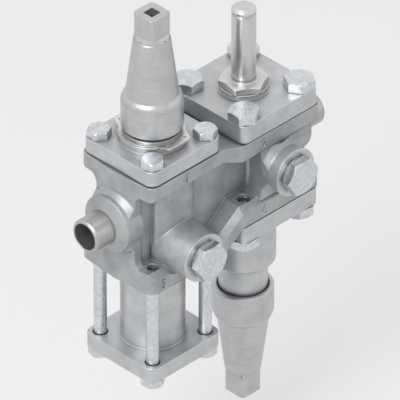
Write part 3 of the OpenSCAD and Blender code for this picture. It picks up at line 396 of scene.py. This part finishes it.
def soft(name, light, dark, roughness, grain, depth):
    # gaskets, seals and packing: matt, with a fibre or moulded grain
    material, tree, shader = newMaterial(name)
    fibre = noise(tree, place(tree), grain, detail=4.0, rough=0.7)
    cloud = noise(tree, place(tree), softLook["cloud"], detail=2.0, rough=0.5)
    shade = ramp(tree, fibre * 0.6 + cloud * 0.4, softLook["band"])
    join(tree, shader.inputs["Base Color"], mixColour(tree, shade, dark, light))
    join(tree, shader.inputs["Roughness"], roughness + fibre * 0.1)
    join(tree, shader.inputs["Normal"], bump(tree, fibre, softLook["bump"], depth))
    return material


finishes = {
    "cast_zinc": metalFinish("castZinc", castLook, drawCast),
    "cover_zinc": metalFinish("coverZinc", machinedLook, drawMachined),
    "weld_steel": turned("weldSteel", axis="X", light=(0.52, 0.515, 0.505),
                         dark=(0.39, 0.385, 0.375), roughness=0.34),
    "bolt_zinc": plated("boltZinc"),
    "turned_steel": turned("turnedSteel"),
    "stainless": turned("stainless", light=(0.67, 0.665, 0.655), dark=(0.59, 0.585, 0.575),
                        roughness=0.28, reliefDepth=0.004 * mm, metallic=0.95),
    "spring_steel": turned("springSteel", light=(0.56, 0.56, 0.56), dark=(0.45, 0.45, 0.45)),
    "cap_aluminium": turned("capAluminium", light=(0.58, 0.585, 0.595), dark=(0.46, 0.465, 0.475),
                            mark=0.36 * mm, reliefDepth=0.025 * mm, roughness=0.3, metallic=0.82),
    # the tag's painted corner shade and its worn, painted-highlight edges reach less far
    "tag_aluminium": plated("tagAluminium", light=(0.76, 0.76, 0.75), dark=(0.66, 0.66, 0.65),
                            roughness=0.32, rubReach=0.15 * mm, dirtReach=1.5 * mm),
    "gasket_aluminium": turned("gasketAluminium", axis="Y", light=(0.66, 0.665, 0.67),
                               dark=(0.54, 0.545, 0.55), roughness=0.4),
    "brass": turned("brass", light=(0.74, 0.56, 0.28), dark=(0.60, 0.44, 0.20), metallic=1.0),
    "ptfe": soft("ptfe", light=(0.82, 0.81, 0.77), dark=(0.74, 0.73, 0.69),
                 roughness=0.42, grain=0.8 * mm, depth=0.01 * mm),
    "graphite": soft("graphite", light=(0.14, 0.14, 0.15), dark=(0.07, 0.07, 0.075),
                     roughness=0.5, grain=0.5 * mm, depth=0.04 * mm),
    "gasket_fibre": soft("gasketFibre", light=(0.13, 0.18, 0.165), dark=(0.065, 0.10, 0.09),
                         roughness=0.75, grain=0.35 * mm, depth=0.04 * mm),
    "seal_rubber": soft("sealRubber", light=(0.05, 0.05, 0.052), dark=(0.03, 0.03, 0.032),
                        roughness=0.5, grain=0.3 * mm, depth=0.01 * mm),
}
for name, cadNode in frame["nodes"].items():
    cadNode.data.materials.clear()
    cadNode.data.materials.append(finishes[slotOf[name]])
print("finishes ready")


# Making pieces

sharpFrom = math.radians(26)
weld = 0.0005 * mm   # points this close in a grown mesh are one


def settled(name, holder):
    # the evaluated object as a plain mesh, on an object of its own at the origin
    seen = holder.evaluated_get(bpy.context.evaluated_depsgraph_get())
    mesh = bpy.data.meshes.new_from_object(seen)
    bpy.data.objects.remove(holder)
    return linked(name, mesh)


def newTree(name, sizes):
    # a Geometry Nodes tree with a named input for each size and one for its finish
    tree = bpy.data.node_groups.new(name, "GeometryNodeTree")
    for label, value in sizes.items():
        kind = "NodeSocketInt" if isinstance(value, int) else "NodeSocketFloat"
        tree.interface.new_socket(name=label, in_out="INPUT", socket_type=kind)
    tree.interface.new_socket(name="Finish", in_out="INPUT", socket_type="NodeSocketMaterial")
    tree.interface.new_socket(name="Geometry", in_out="OUTPUT", socket_type="NodeSocketGeometry")
    entry = tree.nodes.new("NodeGroupInput")
    return tree, {label: Wire(tree, entry.outputs[label]) for label in [*sizes, "Finish"]}


def endTree(tree, shape, finish):
    whole = node(tree, "GeometryNodeRealizeInstances", None, {0: shape})
    painted = node(tree, "GeometryNodeSetMaterial", None, {"Geometry": whole, "Material": finish})
    tree.links.new(painted.socket, tree.nodes.new("NodeGroupOutput").inputs[0])


def grown(name, tree, sizes, slot):
    holder = linked(name + "Seed", bpy.data.meshes.new(name + "Seed"))
    growth = holder.modifiers.new("growth", "NODES")
    growth.node_group = tree
    values = {**sizes, "Finish": finishes[slot]}
    for item in tree.interface.items_tree:
        if item.in_out == "INPUT":
            growth[item.identifier] = values[item.name]
    piece = settled(name, holder)
    work = bmesh.new()
    work.from_mesh(piece.data)
    bmesh.ops.remove_doubles(work, verts=work.verts, dist=weld)
    bmesh.ops.dissolve_degenerate(work, edges=work.edges, dist=weld)
    bmesh.ops.recalc_face_normals(work, faces=work.faces)
    work.to_mesh(piece.data)
    work.free()
    piece.data.shade_smooth()
    piece.data.set_sharp_from_angle(angle=sharpFrom)
    return piece


# Eased edges: a copy of each node that shows, with its sharp edges broken as the real ones are

easedEdges = {
    "housing": 0.5 * mm,
    "stop_bonnet": 0.5 * mm,
    "solenoid_cover": 0.5 * mm,
    "regulating_bonnet": 0.5 * mm,
    "filter_pot": 0.6 * mm,
    "stop_cap": 0.4 * mm,
    "regulating_cap": 0.4 * mm,
    "stop_bolts": 0.2 * mm,
    "solenoid_bolts": 0.25 * mm,
    "filter_bolts": 0.2 * mm,
    "regulating_bolts": 0.25 * mm,
    "low_plug": 0.3 * mm,
    "high_plug": 0.3 * mm,
    "low_plug_gasket": 0.25 * mm,
    "high_plug_gasket": 0.25 * mm,
    "tube_nut": 0.3 * mm,
    "armature_tube": 0.2 * mm,
    "pole_piece": 0.3 * mm,
    "inlet_nipple": 0.25 * mm,
    "outlet_nipple": 0.25 * mm,
    "tag_plate": 0.12 * mm,
    "tag_washer": 0.2 * mm,
    "stop_cap_seal": 0.25 * mm,
    "stop_spindle": 0.25 * mm,
    "regulating_spindle": 0.25 * mm,
    "stop_gland": 0.25 * mm,
    "regulating_gland": 0.25 * mm,
    "stop_cone": 0.25 * mm,
    "regulating_cone": 0.25 * mm,
    "main_piston": 0.25 * mm,
}
easing = {
    "segments": 2,
    "mergeShare": 6,      # steps under a sixth of the width are too small to ease, and are merged
    "flatBelow": 0.5,     # degrees under which two faces are one
    "farOff": 0.45,       # widths that an eased point may lie off the true surface
    "closeUp": 0.5,       # widths under which crowded points become one
    "fewestFaces": 8,     # a smaller patch of faces is a stray one
    "pierced": ("housing", "stop_cap", "regulating_cap"),   # slopes cut by other forms
}
neckCut = {
    "radius": 14.5 * mm,
    "depth": 0.9 * mm,
    "pitch": 2.0 * mm,
    "recess": 1.15,       # how deep the plain neck is cut for its thread, in depths of thread
    "step": 0.05 * mm,    # height of the recess's end walls
    "near": 0.1 * mm,     # how far a point of the neck may lie off its radius
    "onPlane": 1e-7,      # points this close to a cut's plane lie on it
}


def middleX(name):
    low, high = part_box(name)
    return (low[0] + high[0]) / 2


necks = {
    "stop_bonnet": {**neckCut, "centre": middleX("stop_cap"),
                    "low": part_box("stop_cap_seal")[1][2] + 0.5 * mm,
                    "high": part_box("stop_bonnet")[1][2] - 0.4 * mm},
    "regulating_bonnet": {**neckCut, "centre": middleX("regulating_cap"),
                          "low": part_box("regulating_bonnet")[0][2] + 0.4 * mm,
                          "high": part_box("regulating_cap")[1][2] - 6.0 * mm},
}


def mergedCopy(name, width):
    # the node's loose triangles as one closed mesh, without steps that are too small to ease
    work = bmesh.new()
    work.from_mesh(frame["nodes"][name].data)
    bmesh.ops.remove_doubles(work, verts=work.verts, dist=width / easing["mergeShare"])
    bmesh.ops.dissolve_limit(work, angle_limit=math.radians(easing["flatBelow"]),
                             verts=work.verts, edges=work.edges)
    if name in easing["pierced"]:
        bmesh.ops.triangulate(work, faces=work.faces)   # else they fold over when eased
    return work


def recessNeck(work, neck):
    # room in the plain neck for its thread
    step = neck["step"]
    levels = (neck["low"], neck["low"] + step, neck["high"] - step, neck["high"])
    for level in levels:
        everything = work.verts[:] + work.edges[:] + work.faces[:]
        bmesh.ops.bisect_plane(work, geom=everything, dist=neck["onPlane"],
                               plane_co=(0, 0, level), plane_no=(0, 0, 1))
    root = neck["radius"] - neck["recess"] * neck["depth"]
    for vert in work.verts:
        out = Vector((vert.co.x - neck["centre"], vert.co.y, 0.0))
        onNeck = abs(out.length - neck["radius"]) < neck["near"]
        if onNeck and levels[1] - step / 2 < vert.co.z < levels[2] + step / 2:
            vert.co += out * (root / out.length - 1.0)


def strayFaces(work):
    # the few faces that a closed-up fold leaves hanging on the surface
    seen, strays = set(), []
    for start in work.faces:
        if start in seen:
            continue
        seen.add(start)
        region, waiting = [], [start]
        while waiting:
            face = waiting.pop()
            region.append(face)
            for edge in face.edges:
                if len(edge.link_faces) == 2:
                    joined = [other for other in edge.link_faces if other not in seen]
                    seen.update(joined)
                    waiting.extend(joined)
        if len(region) < easing["fewestFaces"]:
            strays.extend(region)
    return strays


def drawnBack(mesh, original, width):
    # where a narrow face leaves an eased edge no room, its points go back to the true surface
    work = bmesh.new()
    work.from_mesh(mesh)
    crowded = set()
    for vert in work.verts:
        nearest, _, _, distance = original.find_nearest(vert.co)
        if distance > width * easing["farOff"]:
            vert.co = nearest
            crowded.add(vert)
    for vert in list(crowded):
        crowded.update(edge.other_vert(vert) for edge in vert.link_edges
                       if edge.calc_length() < width)
    inOrder = [vert for vert in work.verts if vert in crowded]   # a set's order changes between runs
    bmesh.ops.remove_doubles(work, verts=inOrder, dist=width * easing["closeUp"])
    bmesh.ops.delete(work, geom=strayFaces(work), context="FACES")
    work.to_mesh(mesh)
    work.free()


def easedPiece(name, work, width):
    original = BVHTree.FromBMesh(work)
    holder = linked(name + "Form", bpy.data.meshes.new(name + "Form"))
    work.to_mesh(holder.data)
    work.free()
    holder.data.materials.clear()
    holder.data.materials.append(finishes[slotOf[name]])
    bevel = holder.modifiers.new("edges", "BEVEL")
    bevel.width = width
    bevel.segments = easing["segments"]
    bevel.limit_method = "ANGLE"
    bevel.angle_limit = sharpFrom
    bevel.use_clamp_overlap = False
    holder = settled(name + "Eased", holder)
    drawnBack(holder.data, original, width)
    holder.data.shade_smooth()
    evened = holder.modifiers.new("shading", "WEIGHTED_NORMAL")
    evened.keep_sharp = False
    piece = settled(name + "_eased", holder)
    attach(piece, bodyOf[name])
    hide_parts(name)


for name, width in easedEdges.items():
    work = mergedCopy(name, width)
    if name in necks:
        recessNeck(work, necks[name])
    easedPiece(name, work, width)
print("edges eased")


# Threads on the necks under the two caps

threadForm = {
    "stepsPerTurn": 4,
    "around": 72,
    "extraRows": 4,   # one for the thread to end on, and three that close the sleeve
    "fade": 1.5,      # the thread runs out over two thirds of a turn
    "wall": 1.3,      # from the crest to the sleeve's inner wall, in depths of thread
    "root": 0.3,      # from that wall to the thread's root, in depths of thread
}


def threadTree():
    # a grid rolled round the neck: rows follow the thread, and the first and last two close it
    steps, fade = threadForm["stepsPerTurn"], threadForm["fade"]
    tree, size = newTree("neckThread", {"Radius": 0.0, "Depth": 0.0, "Pitch": 0.0, "Low": 0.0,
                                        "High": 0.0, "Centre": 0.0, "Rows": 2})
    low, high, depth, rows = size["Low"], size["High"], size["Depth"], size["Rows"]
    grid = node(tree, "GeometryNodeMeshGrid", None,
                {"Size X": 1.0, "Size Y": 1.0, "Vertices X": rows,
                 "Vertices Y": threadForm["around"] + 1})
    where = node(tree, "GeometryNodeInputPosition")
    across = node(tree, "ShaderNodeSeparateXYZ", None, {0: where}, out="X") + 0.5
    turn = node(tree, "ShaderNodeSeparateXYZ", None, {0: where}, out="Y") + 0.5
    row = (across * (rows - 1.0)).math("ROUND")
    free = low + ((row - 1.0) / steps + turn - 1.0) * size["Pitch"]
    fadeIn = ((free - low) / size["Pitch"]).math("MULTIPLY", fade, clamp=True)
    fadeOut = ((high - free) / size["Pitch"]).math("MULTIPLY", fade, clamp=True)
    fromCrest = ((row - 1.0) % steps - steps / 2).math("ABSOLUTE")
    ridge = (1.0 - fromCrest / (steps / 2)) * (fadeIn * fadeOut)
    within = (1.0 - row.math("LESS_THAN", 0.5)) * (1.0 - row.math("GREATER_THAN", rows - 2.5))
    last = row.math("GREATER_THAN", rows - 1.5)
    wall = size["Radius"] - depth * threadForm["wall"]
    reach = wall + within * depth * (ridge + threadForm["root"])
    level = free.math("MAXIMUM", low).math("MINIMUM", high) - last * (high - low)
    angle = turn * math.tau
    spot = node(tree, "ShaderNodeCombineXYZ", None,
                {0: size["Centre"] + angle.math("COSINE") * reach,
                 1: angle.math("SINE") * reach,
                 2: level})
    shape = node(tree, "GeometryNodeSetPosition", None, {"Geometry": grid, "Position": spot})
    endTree(tree, shape, size["Finish"])
    return tree


threads = threadTree()
for name, neck in necks.items():
    turns = math.ceil((neck["high"] - neck["low"]) / neck["pitch"]) + 1
    sleeve = grown(name + "_thread", threads, {
        "Radius": neck["radius"], "Depth": neck["depth"], "Pitch": neck["pitch"],
        "Low": neck["low"], "High": neck["high"], "Centre": neck["centre"],
        "Rows": threadForm["stepsPerTurn"] * turns + threadForm["extraRows"],
    }, slotOf[name])
    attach(sleeve, bodyOf[name])
print("threads cut")


# Coil springs: wound wire in place of the plain tubes

springs = {
    "piston_spring": {"wire": 1.15 * mm, "turns": 5.5,
                      "joint": "main_piston_lift", "travel": 4.0 * mm},
    "armature_spring": {"wire": 0.62 * mm, "turns": 10.0,
                        "joint": "armature_lift", "travel": 2.5 * mm},
}
coilForm = {"stepsPerTurn": 28, "aroundWire": 12}


def springTree():
    tree, size = newTree("coilSpring", {"Radius": 0.0, "Wire": 0.0, "Turns": 3.0, "Low": 0.0,
                                        "High": 0.0, "Centre": 0.0})
    spiral = node(tree, "GeometryNodeCurveSpiral", None,
                  {"Resolution": coilForm["stepsPerTurn"], "Rotations": size["Turns"],
                   "Start Radius": size["Radius"], "End Radius": size["Radius"], "Height": 0.0})
    wound = node(tree, "GeometryNodeSplineParameter") * size["Turns"]
    firstCoil = wound.math("ADD", 0.0, clamp=True)   # the closed coil at each end rises by one wire
    lastCoil = (wound - size["Turns"] + 1.0).math("ADD", 0.0, clamp=True)
    openPart = (wound - firstCoil - lastCoil) / (size["Turns"] - 2.0)
    openLength = size["High"] - size["Low"] - size["Wire"] * 3.0
    level = size["Low"] + size["Wire"] * (0.5 + firstCoil + lastCoil) + openPart * openLength
    offset = node(tree, "ShaderNodeCombineXYZ", None, {0: size["Centre"], 1: 0.0, 2: level})
    path = node(tree, "GeometryNodeSetPosition", None, {"Geometry": spiral, "Offset": offset})
    section = node(tree, "GeometryNodeCurvePrimitiveCircle", {"mode": "RADIUS"},
                   {"Resolution": coilForm["aroundWire"], "Radius": size["Wire"] * 0.5})
    wire = node(tree, "GeometryNodeCurveToMesh", None,
                {"Curve": path, "Profile Curve": section, "Fill Caps": True})
    endTree(tree, wire, size["Finish"])
    return tree


coils = springTree()
for name, spring in springs.items():
    low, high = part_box(name)
    coil = grown(name + "_coil", coils, {
        "Radius": (high[0] - low[0] - spring["wire"]) / 2,
        "Wire": spring["wire"], "Turns": spring["turns"],
        "Low": low[2], "High": high[2], "Centre": middleX(name),
    }, slotOf[name])
    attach(coil, bodyOf[name])
    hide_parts(name)
    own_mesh(coil)
print("springs wound")


# Plain cast numerals beside the ports, on the front of the housing's flanges

numerals = {
    "size": 9 * mm,
    "relief": 0.7 * mm,
    "sunk": 0.1 * mm,
    "weld": 0.001 * mm,   # points this close in a numeral are one
    "places": [("1", 55.4 * mm, -30.0 * mm, 29.2 * mm), ("2", 118.0 * mm, -31.5 * mm, 24.4 * mm),
               ("3", 35.6 * mm, -30.0 * mm, -36.9 * mm), ("4", 118.5 * mm, -31.5 * mm, -23.6 * mm)],
}


def castNumerals():
    work = bmesh.new()
    for sign, x, y, z in numerals["places"]:
        text = bpy.data.curves.new("numeral", "FONT")
        text.body = sign
        text.size = numerals["size"]
        text.extrude = (numerals["relief"] + numerals["sunk"]) / 2
        text.align_x, text.align_y = "CENTER", "CENTER"
        flat = settled("numeralFlat", linked("numeral", text))
        out = Vector((x, y - (numerals["relief"] - numerals["sunk"]) / 2, z))
        flat.data.transform(Matrix.Translation(out) @ Matrix.Rotation(math.pi / 2, 4, "X"))
        work.from_mesh(flat.data)
        bpy.data.objects.remove(flat)
    bmesh.ops.remove_doubles(work, verts=work.verts, dist=numerals["weld"])
    bmesh.ops.recalc_face_normals(work, faces=work.faces)
    mesh = bpy.data.meshes.new("port_numerals")
    work.to_mesh(mesh)
    work.free()
    mesh.materials.append(finishes[slotOf["housing"]])
    signs = linked("port_numerals", mesh)
    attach(signs, bodyOf["housing"])


castNumerals()
print("numerals cast")


# Stage: a pale floor, a sky and two lamps

stage = {
    "floorDrop": 45 * mm,    # the station hangs on its pipes, this far above the floor
    "floorSize": 30.0,
    "floorColour": 0.88,
    "floorRoughness": 0.9,
    "skyBand": (0.42, 0.85),    # from just under the horizon to high up, where the sky brightens
    "skyLow": 0.55,
    "skyHigh": 1.0,
    "skyStrength": 0.60,
    "paperWhite": 0.5,       # how far the floor that is seen turns to plain white
}
lamps = {
    "key": {"spot": (-0.95, -0.25, 1.05), "size": (0.6, 0.6), "power": 11.0},
    "fill": {"spot": (0.85, -0.9, 0.35), "size": (0.9, 0.6), "power": 0.5},
}
plainWhite = {"Color": (1.0, 1.0, 1.0, 1.0), "Strength": 1.0}


def seenDirectly(tree):
    # 1 for what the camera, metal and glass see, and 0 for what lights the object
    outputs = tree.nodes.new("ShaderNodeLightPath").outputs
    camera = Wire(tree, outputs["Is Camera Ray"])
    mirrored = Wire(tree, outputs["Is Glossy Ray"])
    passed = Wire(tree, outputs["Is Transmission Ray"])
    return (camera + mirrored + passed).math("MINIMUM", 1.0)


def makeFloor():
    half = stage["floorSize"] / 2
    height = cadBox[0][2] - stage["floorDrop"]
    corners = [(x * half, y * half, height) for x, y in ((-1, -1), (1, -1), (1, 1), (-1, 1))]
    mesh = bpy.data.meshes.new("floor")
    mesh.from_pydata(corners, [], [(0, 1, 2, 3)])
    floor = linked("floor", mesh)
    material, tree, shader = newMaterial("floorPaper")
    join(tree, shader.inputs["Base Color"], (stage["floorColour"],) * 3)
    join(tree, shader.inputs["Roughness"], stage["floorRoughness"])
    paper = Wire(tree, shader.outputs["BSDF"])
    white = node(tree, "ShaderNodeEmission", None, plainWhite)
    whiteness = seenDirectly(tree) * stage["paperWhite"]
    shown = node(tree, "ShaderNodeMixShader", None, {0: whiteness, 1: paper, 2: white})
    tree.links.new(shown.socket, tree.nodes["Material Output"].inputs["Surface"])
    mesh.materials.append(material)


def makeWorld():
    # the object is lit by a soft sky, and what is seen directly is plain white
    world = bpy.data.worlds.new("sky")
    bpy.context.scene.world = world
    world.use_nodes = True
    tree = world.node_tree
    tree.nodes.clear()
    direction = node(tree, "ShaderNodeTexCoord", out="Generated")
    height = node(tree, "ShaderNodeSeparateXYZ", None, {0: direction}, out="Z")
    lit = ramp(tree, height * 0.5 + 0.5, stage["skyBand"], (stage["skyLow"], stage["skyHigh"]))
    light = node(tree, "ShaderNodeBackground", None, {"Color": lit, "Strength": stage["skyStrength"]})
    white = node(tree, "ShaderNodeBackground", None, plainWhite)
    both = node(tree, "ShaderNodeMixShader", None, {0: seenDirectly(tree), 1: light, 2: white})
    tree.links.new(both.socket, tree.nodes.new("ShaderNodeOutputWorld").inputs["Surface"])


def makeLamp(name, spot, size, power):
    data = bpy.data.lights.new(name, "AREA")
    data.shape = "RECTANGLE"
    data.size, data.size_y = size
    data.energy = power
    lamp = linked(name, data)
    lamp.location = spot
    lamp.rotation_mode = "QUATERNION"
    lamp.rotation_quaternion = (Vector(view["aim"]) - Vector(spot)).to_track_quat("-Z", "Y")


makeFloor()
makeWorld()
for name, lamp in lamps.items():
    makeLamp(name, **lamp)
bpy.context.scene.view_settings.view_transform = "Standard"
print("stage ready")
